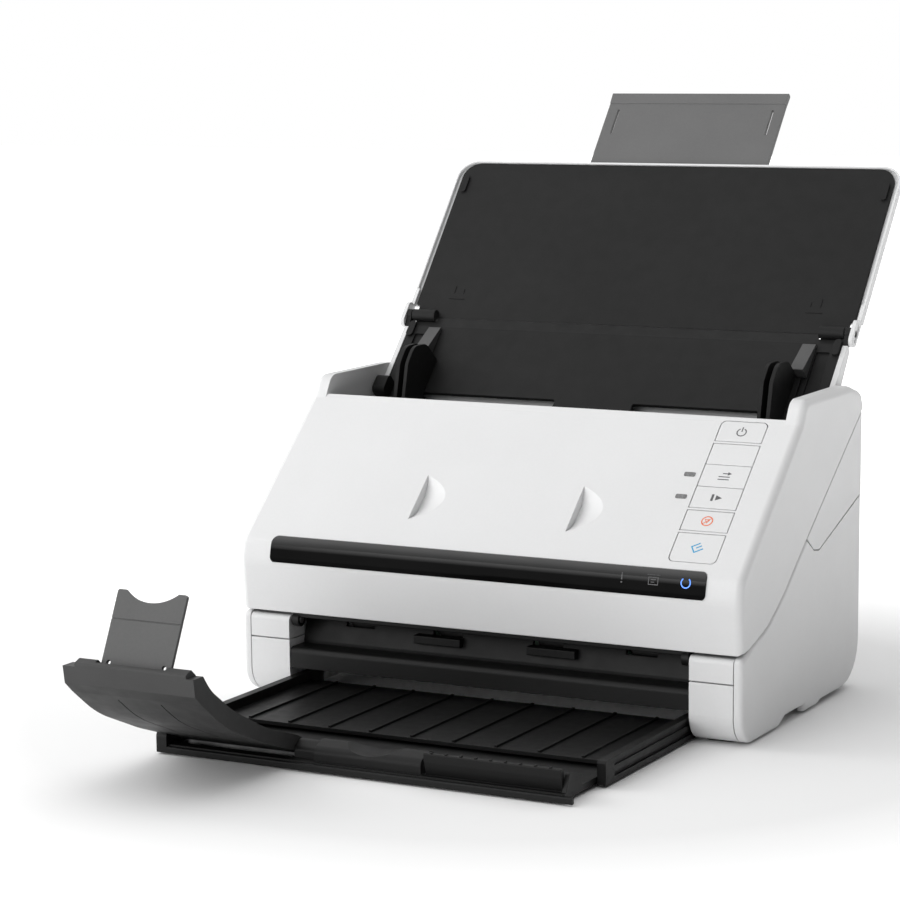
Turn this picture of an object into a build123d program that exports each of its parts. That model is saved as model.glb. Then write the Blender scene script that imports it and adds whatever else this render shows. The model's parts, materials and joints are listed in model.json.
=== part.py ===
from build123d import *
import os
from math import atan, cos, degrees, pi, radians, sin

# Sheet-fed document scanner, modelled in millimetres with its trays deployed.
# Design frame: X runs along the width, Y from the front face to the back, Z up from the table.
# Every part is drawn in the design frame and moved by ORIGIN_Y as it is written, so that the
# finished model's origin is the bottom centre of the deployed scanner's bounding box.

# ---------------------------------------------------------------- driving dimensions
ORIGIN_Y = 36.81
BODY_HALF = 148.0
BODY_DEPTH = 169.0
PANEL_HALF = 143.3
WING_INNER = 138.7
WALL = 2.4
CORNER_INNER = 118.6
SEAM_GAP = 0.8

# cover profile
COVER_BOTTOM = 48.4
BROW = (2.0, 89.3)
CREST = (79.8, 158.2)
WING_TOP = 168.4
HINGE_Y = 5.0
HINGE_Z = 44.0
COVER_OPEN_DEG = 50.0

# paper path: a straight line up and back through the machine
PATH_Z = 28.0
PATH_SLOPE = 0.855
PATH_GAP = 1.0
GUIDE_T = 2.0
GUIDE_HALF = 120.6
SENSOR_FACE = PATH_GAP + GUIDE_T + 0.1

# rollers: place along the path and tyre radius
EXIT_S = 34.0
TRANSPORT_S = 98.0
FEED_S = 120.0
DRIVE_R = 8.9
FEED_R = 11.5
EXIT_PINCH_R = 5.0
TRANSPORT_PINCH_R = 6.0
SEPARATION_R = 9.5
NIP = 0.06
SHAFT_R = 3.0
PINCH_SHAFT_R = 1.8
RUNNING_FIT = 0.05
FRAME_X = (121.0, 123.0)

# belt drive on the left of the frames
BELT_X = (-132.0, -126.0)
DRIVE_PULLEY_R = 8.0
FEED_PULLEY_R = 10.0
PULLEY_FLANGE = 1.4
MOTOR_PULLEY_R = 6.0
BELT_T = 1.2
BELT_CLEAR = 0.15
MOTOR_S = 82.0
MOTOR_D = -46.0
MOTOR_R = 17.0

# input tray
FOLD_Y = 176.0
FOLD_Z = 194.0
LOWER_DEG = 46.5
UPPER_DEG = 50.2
ARM_X = (135.4, 138.4)
RIM_X = (138.7, 141.1)
FOLD_GAP = 0.25
TRAY_FACE = 0.0
UPPER_DROP = 2.0
UPPER_LENGTH = 114.6
EXTENSION_HALF = 56.6
EXTENSION_TOP = 168.2
EXTENSION_TRAVEL = 45.0
FOLD_DEG = 138.0
LUG_R = 3.3
BARREL_R = 3.5
BARREL_X = (120.0, 134.8)
TRAY_CORNER_R = 12.0
FOLD_PIN_R = 2.0

# edge guides, with a rack under each and a pinion between
LETTER_HALF = 108.0
GUIDE_TRAVEL = 78.0
RACK_MODULE = 1.0
PINION_TEETH = 16
PINION_S = -58.0
PINION_R = RACK_MODULE * PINION_TEETH / 2
TOOTH_PITCH = RACK_MODULE * pi

# buttons on the slanted face
BUTTON_X = (103.3, 130.0)
BUTTON_GAP = 0.45
KEY_RIB = 1.2
KEY_EDGES = (6.0, 25.9, 41.0, 56.2, 71.2, 86.3, 101.4)
BUTTON_TRAVEL = 0.8

# cover-release lever at the back of the right side
LEVER_PIVOT = (BODY_HALF - 1.3, BODY_DEPTH - 1.7)
LEVER_SEAM_DROP = 0.9
LEVER_ROUND = 1.3

# finger scoops on the slanted face
SCOOP_X = (41.0, 52.6)
SCOOP_S = 35.0
SCOOP_DEPTH = 4.2
SCOOP_R = 25.0

# raised lip in the middle of the crest, slightly right of centre
CREST_LIP = (-34.0, 51.0)
CREST_LIP_TOP = 160.3

# output tray: two sliding stages, a tilting ramp and a folding stop
RAIL_HALF = 117.4
STAGE_FRONT = -97.0
LIP_FRONT = -134.0
TRAY_TRAVEL = 100.0
SLIDE_TRAVEL = 27.0
RAMP_PIVOT = (-119.5, 8.6)
RAMP_X = (-115.0, -40.4)
RAMP_ROOT_LOW = -110.6
RAMP_DROP_DEG = 13.0
STOP_PIVOT = (-208.6, 61.1)
STOP_X = (-97.0, -57.3)
STOP_LENGTH = 40.0
STOP_LEAN_DEG = 64.0


# ---------------------------------------------------------------- helpers
def sloped_plane(y, z, angle):
    """Plane whose local y runs up and back at an angle, and whose local z is its front normal."""
    return Plane(
        origin=(0, y, z),
        x_dir=(1, 0, 0),
        z_dir=(0, -sin(radians(angle)), cos(radians(angle))),
    )


def world_yz(plane, along, off):
    """Design-frame (y, z) of a point given along and off a sloped plane."""
    point = plane.from_local_coords(Vector(0, along, off))
    return point.Y, point.Z


def rounded_face(corners, plane):
    """Face from (u, v, radius) corners, drawn on a plane."""
    points = [(u, v) for u, v, _ in corners]
    radii = [radius for _, _, radius in corners]
    return plane * make_face(FilletPolyline(*points, radius=radii, close=True))


def slab_x(corners, x_low, x_high):
    """Extrude a (y, z, radius) outline from x_low to x_high."""
    face = rounded_face(corners, Plane.YZ.offset(x_low))
    return extrude(face, amount=x_high - x_low, dir=(1, 0, 0))


def wedge(corners, x_low, x_high, plane):
    """Extrude along X an outline drawn in a sloped plane's (along, off) axes."""
    face = rounded_face(corners, Plane.YZ)
    return plane * (Pos(x_low, 0, 0) * extrude(face, amount=x_high - x_low, dir=(1, 0, 0)))


def block(x_range, y_range, z_range, plane=Plane.XY):
    """Box given by its ranges along a plane's own axes."""
    ranges = (x_range, y_range, z_range)
    size = [high - low for low, high in ranges]
    middle = [(high + low) / 2 for low, high in ranges]
    return plane * (Pos(*middle) * Box(*size))


def rod_x(y, z, radius, x_low, x_high):
    """Cylinder along X."""
    return Pos((x_low + x_high) / 2, y, z) * Rot(0, 90, 0) * Cylinder(radius, x_high - x_low)


def plate(corners, low, high, plane):
    """Extrude a rounded outline drawn on a plane between two heights off it."""
    face = rounded_face(corners, Plane.XY.offset(low))
    return plane * extrude(face, amount=high - low, dir=(0, 0, 1))


def rectangle(x_range, y_range, radius=0.0):
    """Corners of a rectangle for plate()."""
    return [(x, y, radius) for x, y in (
        (x_range[0], y_range[0]),
        (x_range[1], y_range[0]),
        (x_range[1], y_range[1]),
        (x_range[0], y_range[1]),
    )]


def other_side(shape):
    """Mirror image across the middle of the width."""
    return mirror(shape, about=Plane.YZ)


def both_sides(shape):
    """A right-hand piece together with its mirror image."""
    return shape + other_side(shape)


def group(shapes):
    """Separate solids that share one node."""
    solids = []
    for shape in shapes:
        solids.extend(shape.solids())
    return Compound(solids)


def edges_on_x(shape, x, keep):
    """Edges that lie in the plane of one x, filtered by a test on their centre."""
    flat = [e for e in shape.edges() if abs(e.bounding_box().min.X - x) < 0.01]
    flat = [e for e in flat if abs(e.bounding_box().max.X - x) < 0.01]
    return [e for e in flat if keep(e.center())]


PATH_DEG = degrees(atan(PATH_SLOPE))
PATH = sloped_plane(0, PATH_Z, PATH_DEG)
FACE_SLOPE = (CREST[1] - BROW[1]) / (CREST[0] - BROW[0])
FACE_DEG = degrees(atan(FACE_SLOPE))
FACE = sloped_plane(BROW[0], BROW[1], FACE_DEG)
FACE_LENGTH = (CREST[0] - BROW[0]) / cos(radians(FACE_DEG))
LOWER = sloped_plane(FOLD_Y, FOLD_Z, LOWER_DEG)
UPPER = sloped_plane(FOLD_Y, FOLD_Z, UPPER_DEG).offset(-UPPER_DROP)

# seam between cover and base, from front to back
SEAM = [(12.0, 52.0, 14.0), (32.5, 58.0, 40.0), (53.0, 70.0, 60.0), (74.0, 86.0, 0.0)]
SEAM_BACK = (BODY_DEPTH, 154.4)


# ---------------------------------------------------------------- cover
def cover_outline():
    """Side outline of the scanner cover, wings included."""
    return [
        (0.0, COVER_BOTTOM, 0.6),
        (-2.6, 77.0, 20.0),
        (BROW[0] - 2.2, BROW[1] - 2.0, 7.0),
        (77.6, 156.2, 5.0),
        (84.6, WING_TOP, 9.0),
        (152.0, WING_TOP, 12.0),
        (165.0, 164.6, 0.0),
        (BODY_DEPTH, SEAM_BACK[1], 0.0),
        (SEAM[3][0], SEAM[3][1], 0.0),
        (SEAM[2][0], SEAM[2][1], 60.0),
        (SEAM[1][0], SEAM[1][1], 40.0),
        (SEAM[0][0], SEAM[0][1], 14.0),
        (5.0, COVER_BOTTOM, 0.0),
    ]


def cover_hollow():
    """Inside of the cover behind its front and slanted walls, open towards the paper path."""
    back_of_face = WALL / cos(radians(FACE_DEG))
    return [
        (WALL, 40.0, 0.0),
        (WALL - 2.4, 77.0, 16.0),
        (BROW[0] + 0.6, BROW[1] - 4.4, 5.0),
        (CREST[0] - 1.0, CREST[1] - back_of_face - 0.8, 1.5),
        (83.6, 152.0, 1.0),
        (95.4, 122.5, 0.0),
        (95.4, 60.0, 0.0),
        (30.0, 40.0, 0.0),
    ]


def throat():
    """Space behind the cover's back wall, between the wings, where sheets drop in."""
    return [
        (60.0, BROW[1] + (60.0 - BROW[0]) * FACE_SLOPE, 0.0),
        (CREST[0], CREST[1], 0.0),
        (85.6, 156.6, 2.0),
        (98.6, 122.0, 0.0),
        (98.6, 60.0, 0.0),
        (220.0, 60.0, 0.0),
        (220.0, 230.0, 0.0),
        (60.0, 230.0, 0.0),
    ]


def above_seam(point):
    """True on the cover's front and top, false on its seam and its back."""
    return point.Z > 50.0 and point.Y < 165.5 and point.Z - 47.0 > 0.74 * (point.Y + 2.0) + 2.0


def crest_lip():
    """Raised lip along the middle of the crest, with sloping ends."""
    ridge = [
        (CREST[0] - 4.5, CREST[1] - 5.0, 0.0), (CREST[0] - 0.6, CREST_LIP_TOP, 1.6),
        (84.4, CREST_LIP_TOP, 1.0), (86.2, CREST[1] - 3.0, 0.0),
    ]
    low, high = CREST_LIP
    base = CREST[1] - 6.0
    ends = [
        (low, base), (low, CREST[1] - 0.4), (low + 6.0, CREST_LIP_TOP + 0.1),
        (high - 6.0, CREST_LIP_TOP + 0.1), (high, CREST[1] - 0.4), (high, base),
    ]
    face = Plane.XZ * make_face(Polyline(*ends, close=True))
    return slab_x(ridge, low, high) & extrude(face, amount=120.0, dir=(0, 1, 0))


def scoop_cut(x_low, x_high):
    """Finger scoop in the slanted face: upright on its left, with a floor that rises to the right."""
    rise = degrees(atan(SCOOP_DEPTH / (x_high - x_low)))
    floor = Rot(0, 90 - rise, 0) * Cylinder(SCOOP_R, 90.0)
    floor = FACE * (Pos(x_low, SCOOP_S, SCOOP_R - SCOOP_DEPTH) * floor)
    span = (x_low, x_high + 6.0)
    return floor & block(span, (SCOOP_S - 20.0, SCOOP_S + 20.0), (-SCOOP_DEPTH - 1.0, 6.0), FACE)


def scoop_boss(x_low, x_high):
    """Thicker wall behind a scoop."""
    span = (x_low - 2.2, x_high + 2.2)
    return block(span, (SCOOP_S - 15.0, SCOOP_S + 15.0), (-SCOOP_DEPTH - 2.2, -0.2), FACE)


def button_rows():
    """Name and (low, high) place along the slanted face of each key in the column."""
    names = ["start", "stop", "skip", "feed_mode", "filler", "power"]
    return list(zip(names, zip(KEY_EDGES[:-1], KEY_EDGES[1:])))


def rib_places():
    """Places along the slanted face of the fixed ribs between some of the keys."""
    return [high for name, (low, high) in button_rows() if name in ("start", "stop", "filler")]


def key_end(place, gap):
    """Distance from a place between two rows to the edge of the key next to it."""
    if place in rib_places():
        return KEY_RIB / 2 + gap
    if place in (KEY_EDGES[0], KEY_EDGES[-1]):
        return gap
    return gap / 2


def key_outline(row, gap):
    """Rounded outline of one key, with larger corners at the ends of the column."""
    (low, high) = row[1]
    big = 3.0
    small = 0.4
    bottom = big if row[0] == "start" else small
    top = big if row[0] == "power" else small
    x_low, x_high = BUTTON_X[0] + gap, BUTTON_X[1] - gap
    low += key_end(low, gap)
    high -= key_end(high, gap)
    return [(x_low, low, bottom), (x_high, low, bottom), (x_high, high, top), (x_low, high, top)]


def key_column_opening():
    """Openings in the slanted face for the column of keys, parted by the fixed ribs."""
    rows = button_rows()
    low = rows[0][1][0]
    high = rows[-1][1][1]
    opening = plate(rectangle(BUTTON_X, (low, high), 3.2), -6.0, 6.0, FACE)
    for place in rib_places():
        rib = (place - KEY_RIB / 2, place + KEY_RIB / 2)
        opening -= block((BUTTON_X[0] - 1.0, BUTTON_X[1] + 1.0), rib, (-7.0, 7.0), FACE)
    return opening


def led_windows():
    """Two small status windows beside the keys."""
    windows = []
    for along in (48.4, 63.4):
        corners = rectangle((94.1, 100.3), (along - 1.35, along + 1.35), 0.7)
        windows.append(plate(corners, -2.0, 0.25, FACE))
    return windows


def strip_outline(grow):
    """Side outline of the gloss strip, following the front face over the brow."""
    return [
        (-2.75 - grow, 76.2 - grow, 0.0),
        (-2.75 - grow, 79.0, 8.0),
        (-0.9 - grow, 87.0, 9.0),
        (3.0, 91.0 + grow, 0.0),
        (5.0, 89.4 + grow, 0.0),
        (2.2, 84.6, 4.0),
        (0.4, 76.2 - grow, 0.0),
    ]


def gloss_strip():
    """Gloss black status strip across the front."""
    strip = slab_x(strip_outline(0.0), -128.4, 128.4)
    trim = Plane.XZ.offset(40.0) * RectangleRounded(256.6, 14.2, 3.2)
    trim = extrude(Pos(0, 0, 82.9) * trim, amount=80.0, dir=(0, 1, 0))
    return strip & trim


def cover_shell():
    """Outer moulding of the cover: front, slanted face, side wings and inner back wall."""
    body = slab_x(cover_outline(), -BODY_HALF, BODY_HALF)
    for x in (-BODY_HALF, BODY_HALF):
        edges = edges_on_x(body, x, above_seam)
        body = fillet(edges, 4.0)
    body += crest_lip()
    body -= slab_x(throat(), -WING_INNER, WING_INNER)
    body -= slab_x(cover_hollow(), -WING_INNER + WALL, WING_INNER - WALL)
    below_path = [
        (-8.0, 20.0, 0.0),
        (-8.0, COVER_BOTTOM - 0.2, 0.0),
        (12.0, COVER_BOTTOM - 0.2, 0.0),
        (26.0, 53.0, 0.0),
        (180.0, 28.0 + 180.0 * PATH_SLOPE + 1.5, 0.0),
        (180.0, 20.0, 0.0),
    ]
    body -= slab_x(below_path, -PANEL_HALF - 2.2, PANEL_HALF + 2.2)
    wing_hollow = [
        (2.6, 47.0, 0.0),
        (2.4, 84.0, 6.0),
        (80.0, 150.0, 3.0),
        (90.0, 165.0, 3.0),
        (152.0, 165.0, 8.0),
        (166.0, 152.0, 0.0),
        (166.0, 120.0, 0.0),
        (40.0, 40.0, 0.0),
    ]
    hollow = slab_x(wing_hollow, WING_INNER + WALL, BODY_HALF - WALL)
    body -= both_sides(hollow)
    front_hollow = [
        (2.4, 40.0, 0.0),
        (0.2, 77.0, 10.0),
        (3.4, 85.4, 4.0),
        (70.0, 144.0, 0.0),
        (70.0, 60.0, 0.0),
        (30.0, 40.0, 0.0),
    ]
    body -= slab_x(front_hollow, -BODY_HALF + WALL + 2.0, BODY_HALF - WALL - 2.0)
    body -= key_column_opening()
    for window in led_windows():
        body -= window
    body -= gloss_strip()
    for low, high in (SCOOP_X, (-SCOOP_X[1], -SCOOP_X[0])):
        body += scoop_boss(low, high)
        body -= scoop_cut(low, high)
    return body


def keys():
    """Push keys of the control column, each in its own node."""
    made = {}
    for row in button_rows():
        cap = plate(key_outline(row, BUTTON_GAP), -1.8, 0.0, FACE)
        cap = fillet(cap.edges().filter_by(lambda e: world_off(e) > -0.01), 0.25)
        middle = (row[1][0] + row[1][1]) / 2
        stem = FACE * (Pos(sum(BUTTON_X) / 2, middle, -3.4) * Cylinder(2.2, 3.4))
        made[row[0]] = cap + stem
    return made


def world_off(edge):
    """Height of an edge's centre off the slanted face."""
    return FACE.to_local_coords(edge.center()).Z


def key_board():
    """Printed board behind the keys, with a dome switch under each."""
    board = block((101.0, 132.0), (3.0, FACE_LENGTH - 4.6), (-9.4, -7.8), FACE)
    for row in button_rows():
        middle = (row[1][0] + row[1][1]) / 2
        board += FACE * (Pos(sum(BUTTON_X) / 2, middle, -7.1) * Cylinder(3.2, 1.4))
    return board


def path_window(x_range, s_range, d_range=(-8.0, 8.0)):
    """Cutter through a guide plate."""
    return block(x_range, s_range, d_range, PATH)


TYRE_SPANS = [(-92.0, -76.0), (-38.0, -22.0), (22.0, 38.0), (76.0, 92.0)]
FEED_SPANS = [(-30.0, -3.0), (3.0, 30.0)]
PINCH_AXLES = [
    (EXIT_S, EXIT_PINCH_R, TYRE_SPANS[-1][1]),
    (TRANSPORT_S, TRANSPORT_PINCH_R, TYRE_SPANS[-1][1]),
    (FEED_S, SEPARATION_R, FEED_SPANS[-1][1]),
]


def roller_windows(plate_shape):
    """Cut the roller and sensor windows into a guide plate."""
    for span in TYRE_SPANS:
        grown = (span[0] - 1.0, span[1] + 1.0)
        plate_shape -= path_window(grown, (EXIT_S - 9.5, EXIT_S + 9.5))
        plate_shape -= path_window(grown, (TRANSPORT_S - 9.5, TRANSPORT_S + 9.5))
    plate_shape -= path_window((-32.0, 32.0), (FEED_S - 11.0, FEED_S + 11.0))
    plate_shape -= path_window((-109.0, 109.0), (54.5, 77.5))
    return plate_shape


def axle_bearings(s, radius, outer):
    """Pair of plain bearings on the back of the upper guide for one pinch axle."""
    y, z = world_yz(PATH, s, radius + NIP)
    low, high = PATH_GAP + GUIDE_T - 0.1, radius + NIP + PINCH_SHAFT_R + 1.6
    bearing = block((outer + 2.2, outer + 5.2), (s - 4.0, s + 2.0), (low, high), PATH)
    bearing -= rod_x(y, z, PINCH_SHAFT_R + RUNNING_FIT, outer, outer + 8.0)
    return both_sides(bearing)


def upper_guide():
    """Dark inner frame of the cover that faces the paper."""
    half = GUIDE_HALF - 3.0
    sheet = block((-half, half), (22.0, 122.0), (PATH_GAP, PATH_GAP + GUIDE_T), PATH)
    sheet = roller_windows(sheet)
    for s, radius, outer in PINCH_AXLES:
        sheet += axle_bearings(s, radius, outer)
    return sheet


def exit_lip():
    """Grey lip under the cover's bottom edge, with the two hinge eyes."""
    outline = [(2.6, 45.6, 0.5), (2.6, 48.2, 0.0), (14.6, 48.2, 0.0), (14.6, 45.6, 0.0)]
    lip = slab_x(outline, -117.6, 117.6)
    for side in (-1, 1):
        low, high = sorted((side * 113.6, side * 117.6))
        lip += rod_x(HINGE_Y, HINGE_Z, 3.9, low, high)
        lip -= rod_x(HINGE_Y, HINGE_Z, 2.0 + RUNNING_FIT, low - 1.0, high + 1.0)
    return lip


# ---------------------------------------------------------------- sensors and rollers
def sensor_unit(side):
    """Contact image sensor housing on one side of the paper path."""
    low, high = sorted((side * SENSOR_FACE, side * 20.0))
    body = block((-112.0, 112.0), (53.0, 79.0), (low, high), PATH)
    well = sorted((side * SENSOR_FACE, side * 14.0))
    body -= block((-106.0, 106.0), (56.0, 76.0), well, PATH)
    body += block((-106.0, 106.0), (64.5, 67.5), sorted((side * 8.0, side * 14.5)), PATH)
    return body


def sensor_glass(side):
    """Glass strip over a sensor housing."""
    span = sorted((side * (PATH_GAP + 0.1), side * SENSOR_FACE))
    return block((-108.4, 108.4), (55.0, 77.0), span, PATH)


def tyres(spans, s, radius, side, bore):
    """Rubber tyres of one roller."""
    y, z = world_yz(PATH, s, side * (radius + NIP))
    rings = []
    for low, high in spans:
        ring = rod_x(y, z, radius, low, high) - rod_x(y, z, bore, low - 1.0, high + 1.0)
        rings.append(ring)
    return group(rings)


def drive_shaft(s, radius):
    """Steel shaft of one driven roller, through both frames to its pulley."""
    y, z = world_yz(PATH, s, -(radius + NIP))
    return rod_x(y, z, SHAFT_R, BELT_X[0] + 1.0, FRAME_X[1] + 2.0)


def pinch_roller(spans, s, radius):
    """Roller of the cover: an axle with its tyres moulded on, a little longer than they are."""
    overhang = 6.0
    y, z = world_yz(PATH, s, radius + NIP)
    axle = rod_x(y, z, PINCH_SHAFT_R, spans[0][0] - overhang, spans[-1][1] + overhang)
    return group([axle, tyres(spans, s, radius, 1, PINCH_SHAFT_R)])


def pulley(y, z, radius):
    """Flanged belt pulley."""
    rim = rod_x(y, z, radius, BELT_X[0], BELT_X[1])
    flange = rod_x(y, z, radius + PULLEY_FLANGE, BELT_X[0] - 1.4, BELT_X[0] - 0.2)
    return rim + flange + rod_x(y, z, radius, BELT_X[0] - 0.3, BELT_X[0])


def pulley_places():
    """(y, z, radius) of every pulley in the belt loop."""
    exit_y, exit_z = world_yz(PATH, EXIT_S, -(DRIVE_R + NIP))
    mid_y, mid_z = world_yz(PATH, TRANSPORT_S, -(DRIVE_R + NIP))
    feed_y, feed_z = world_yz(PATH, FEED_S, -(FEED_R + NIP))
    motor_y, motor_z = world_yz(PATH, MOTOR_S, MOTOR_D)
    return {
        "exit": (exit_y, exit_z, DRIVE_PULLEY_R),
        "transport": (mid_y, mid_z, DRIVE_PULLEY_R),
        "feed": (feed_y, feed_z, FEED_PULLEY_R),
        "motor": (motor_y, motor_z, MOTOR_PULLEY_R),
    }


def belt_loop(grow):
    """Prism round all the pulleys, a distance outside their rims."""
    circles = Sketch() + [Pos(y, z) * Circle(r + grow) for y, z, r in pulley_places().values()]
    hull = make_hull(circles.edges())
    face = Plane.YZ.offset(BELT_X[0] + 0.3) * hull
    return extrude(face, amount=BELT_X[1] - BELT_X[0] - 0.6, dir=(1, 0, 0))


def drive_belt():
    """Flat belt that turns all three rollers."""
    return belt_loop(BELT_CLEAR + BELT_T) - belt_loop(BELT_CLEAR)


# ---------------------------------------------------------------- base
def side_frame():
    """Right-hand steel frame plate that carries the rollers."""
    outline = [
        (31.6, 20.2, 0.0),
        (160.0, 20.2, 0.0),
        (160.0, 149.0, 2.0),
        (154.5, 146.5, 2.0),
        (128.0, 118.6, 4.0),
        (112.0, 116.4, 4.0),
        (24.4, 42.6, 4.0),
        (18.6, 38.0, 1.0),
        (18.6, 34.0, 0.0),
        (31.6, 34.0, 0.0),
    ]
    sheet = slab_x(outline, FRAME_X[0], FRAME_X[1])
    for y, z, _ in pulley_places().values():
        sheet -= rod_x(y, z, SHAFT_R + RUNNING_FIT, FRAME_X[0] - 1.0, FRAME_X[1] + 1.0)
    for y, z in ((60.0, 34.0), (132.0, 40.0), (132.0, 76.0)):
        sheet -= rod_x(y, z, 8.0, FRAME_X[0] - 1.0, FRAME_X[1] + 1.0)
    return sheet


def bottom_chassis():
    """Floor moulding over the output tray bay, with a pod down each side."""
    deck = block((-CORNER_INNER, CORNER_INNER), (17.4, 164.0), (17.6, 20.0))
    pod = block((CORNER_INNER, PANEL_HALF - 0.6), (31.0, 164.0), (3.4, 20.0))
    pod -= block((CORNER_INNER + WALL, PANEL_HALF - 3.0), (33.4, 161.6), (5.8, 24.0))
    back = block((-CORNER_INNER, CORNER_INNER), (161.6, 164.0), (4.0, 18.0))
    return deck + both_sides(pod) + back


def base_outline():
    """Side outline of the base, up to the seam."""
    seam = [(y, z - SEAM_GAP, radius) for y, z, radius in reversed(SEAM)]
    return [
        (0.0, 46.4, 3.2),
        (0.0, 1.0, 15.0),
        (51.0, 1.0, 3.0),
        (60.0, 5.0, 3.0),
        (87.0, 5.0, 1.0),
        (88.0, 1.2, 0.8),
        (106.0, 1.2, 1.0),
        (112.0, 2.8, 3.0),
        (BODY_DEPTH, 2.8, 25.0),
        (BODY_DEPTH, SEAM_BACK[1] - SEAM_GAP - 0.2, 0.0),
    ] + seam[:-1] + [(12.0, 52.0 - SEAM_GAP, 14.0), (5.4, 47.6, 1.0)]


def base_inner_outline():
    """Hollow behind a side panel."""
    return [
        (2.4, 44.4, 2.0),
        (2.4, 3.4, 12.0),
        (52.0, 3.4, 2.0),
        (60.0, 7.4, 2.0),
        (110.0, 7.4, 2.0),
        (118.0, 5.2, 2.0),
        (BODY_DEPTH - WALL, 5.2, 22.0),
        (BODY_DEPTH - WALL, 148.6, 0.0),
        (74.6, 82.0, 0.0),
        (54.0, 67.0, 40.0),
        (33.0, 54.6, 30.0),
        (13.0, 48.8, 8.0),
        (6.0, 45.0, 1.0),
    ]


def seam_height(y):
    """Height of the straight back run of the seam."""
    run = (SEAM_BACK[1] - SEAM[3][1]) / (SEAM_BACK[0] - SEAM[3][0])
    return SEAM[3][1] + (y - SEAM[3][0]) * run


def below_seam(point):
    """True on the base's front, bottom and back edges, false along its seam."""
    return point.Z < min(seam_height(point.Y) - 3.0, 46.0) or point.Y > BODY_DEPTH - 0.5


def side_panel(x_sign):
    """White side panel of the base, with a rim that turns inwards all round."""
    panel = slab_x(base_outline(), PANEL_HALF, BODY_HALF)
    panel = fillet(edges_on_x(panel, BODY_HALF, below_seam), 2.6)
    panel -= slab_x(base_inner_outline(), PANEL_HALF - 1.0, BODY_HALF - WALL)
    if x_sign < 0:
        return other_side(panel)
    opening = [
        (86.4, seam_height(86.4) + 4.0, 0.0),
        (86.4, seam_height(86.4) - LEVER_SEAM_DROP, 0.0),
        (97.2, 86.9, 1.8),
        (105.2, 85.7, 1.8),
        (BODY_DEPTH + 1.0, 107.6, 0.0),
        (BODY_DEPTH + 1.0, seam_height(BODY_DEPTH) + 4.0, 0.0),
    ]
    return panel - slab_x(opening, PANEL_HALF - 1.0, BODY_HALF + 1.0)


def cover_lever():
    """Release lever that swings out from the right side of the base, on its round back edge."""
    back = LEVER_PIVOT[1]
    outline = [
        (87.4, seam_height(87.4) - LEVER_SEAM_DROP, 0.0),
        (97.4, 87.5, 1.6),
        (105.0, 86.3, 1.6),
        (back, 107.7, 0.0),
        (back, seam_height(back) - LEVER_SEAM_DROP, 0.0),
    ]
    lever = slab_x(outline, BODY_HALF - 2 * LEVER_ROUND, BODY_HALF)
    low, high = 108.4, seam_height(back) - LEVER_SEAM_DROP
    lever += Pos(LEVER_PIVOT[0], back, (low + high) / 2) * Cylinder(LEVER_ROUND, high - low)
    hook = block((BODY_HALF - 6.4, BODY_HALF - 2.5), (112.0, 116.0), (98.0, 110.0))
    return lever + hook


def corner_block():
    """Right front corner of the base, beside the output tray."""
    outline = [
        (0.0, 32.9, 0.6),
        (0.0, 1.0, 15.0),
        (30.4, 1.0, 0.0),
        (30.4, 32.9, 0.0),
    ]
    body = slab_x(outline, CORNER_INNER, PANEL_HALF - 0.5)
    inner = [(2.4, 30.5, 0.0), (2.4, 3.4, 12.6), (40.0, 3.4, 0.0), (40.0, 30.5, 0.0)]
    return body - slab_x(inner, CORNER_INNER + WALL, PANEL_HALF - 2.9)


def hinge_cap():
    """Small block over the right front corner, which holds the cover's hinge pin."""
    outline = [(0.0, 46.5, 3.2), (0.0, 33.5, 0.6), (16.0, 33.5, 0.0), (16.0, 46.5, 1.0)]
    body = slab_x(outline, CORNER_INNER, PANEL_HALF - 0.5)
    recess = [(9.4, 36.0, 0.0), (9.4, 44.0, 0.0), (20.0, 44.0, 0.0), (20.0, 36.0, 0.0)]
    hollow = slab_x(recess, CORNER_INNER + WALL, PANEL_HALF - 3.0)
    hole = rod_x(HINGE_Y, HINGE_Z, 1.98, CORNER_INNER - 1.0, CORNER_INNER + 12.0)
    return body - hollow - hole


def hinge_pin():
    """Right-hand steel pin of the cover hinge."""
    return rod_x(HINGE_Y, HINGE_Z, 1.98, 113.2, CORNER_INNER + 11.8)


def exit_ledge():
    """Light ledge below the exit slot."""
    outline = [
        (0.0, 17.8, 0.0), (2.2, 17.8, 0.0), (2.2, 26.6, 0.0),
        (14.8, 26.6, 0.0), (14.8, 29.0, 0.0), (0.0, 29.0, 3.0),
    ]
    return slab_x(outline, -CORNER_INNER + 0.3, CORNER_INNER - 0.3)


def exit_wall():
    """Black wall behind the ledge that carries sheets down to the tray."""
    outline = [
        (15.0, 20.1, 0.0), (17.2, 20.1, 0.0), (17.2, 30.0, 0.0),
        (21.4, 42.4, 0.0), (19.4, 43.2, 0.0), (15.0, 30.6, 0.0),
    ]
    half = CORNER_INNER - 0.4
    wall = slab_x(outline, -half, half)
    stud = slab_x([(12.6, 35.0, 0.6), (20.0, 35.0, 0.0), (20.0, 39.6, 0.0), (12.6, 39.6, 0.6)], 20.0, 48.0)
    behind = [(17.4, 20.0, 0.0), (17.4, 31.2, 0.0), (21.6, 44.0, 0.0), (30.0, 44.0, 0.0), (30.0, 20.0, 0.0)]
    stud -= slab_x(behind, 10.0, 60.0)
    wall += both_sides(stud)
    for low, high in TYRE_SPANS:
        wall -= block((low - 1.0, high + 1.0), (18.2, 24.0), (36.0, 46.0))
    return wall


def lower_guide():
    """Guide plate of the base under the paper path."""
    sheet = block((-GUIDE_HALF, GUIDE_HALF), (27.5, 140.0), (-PATH_GAP - GUIDE_T, -PATH_GAP), PATH)
    return roller_windows(sheet)


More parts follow.
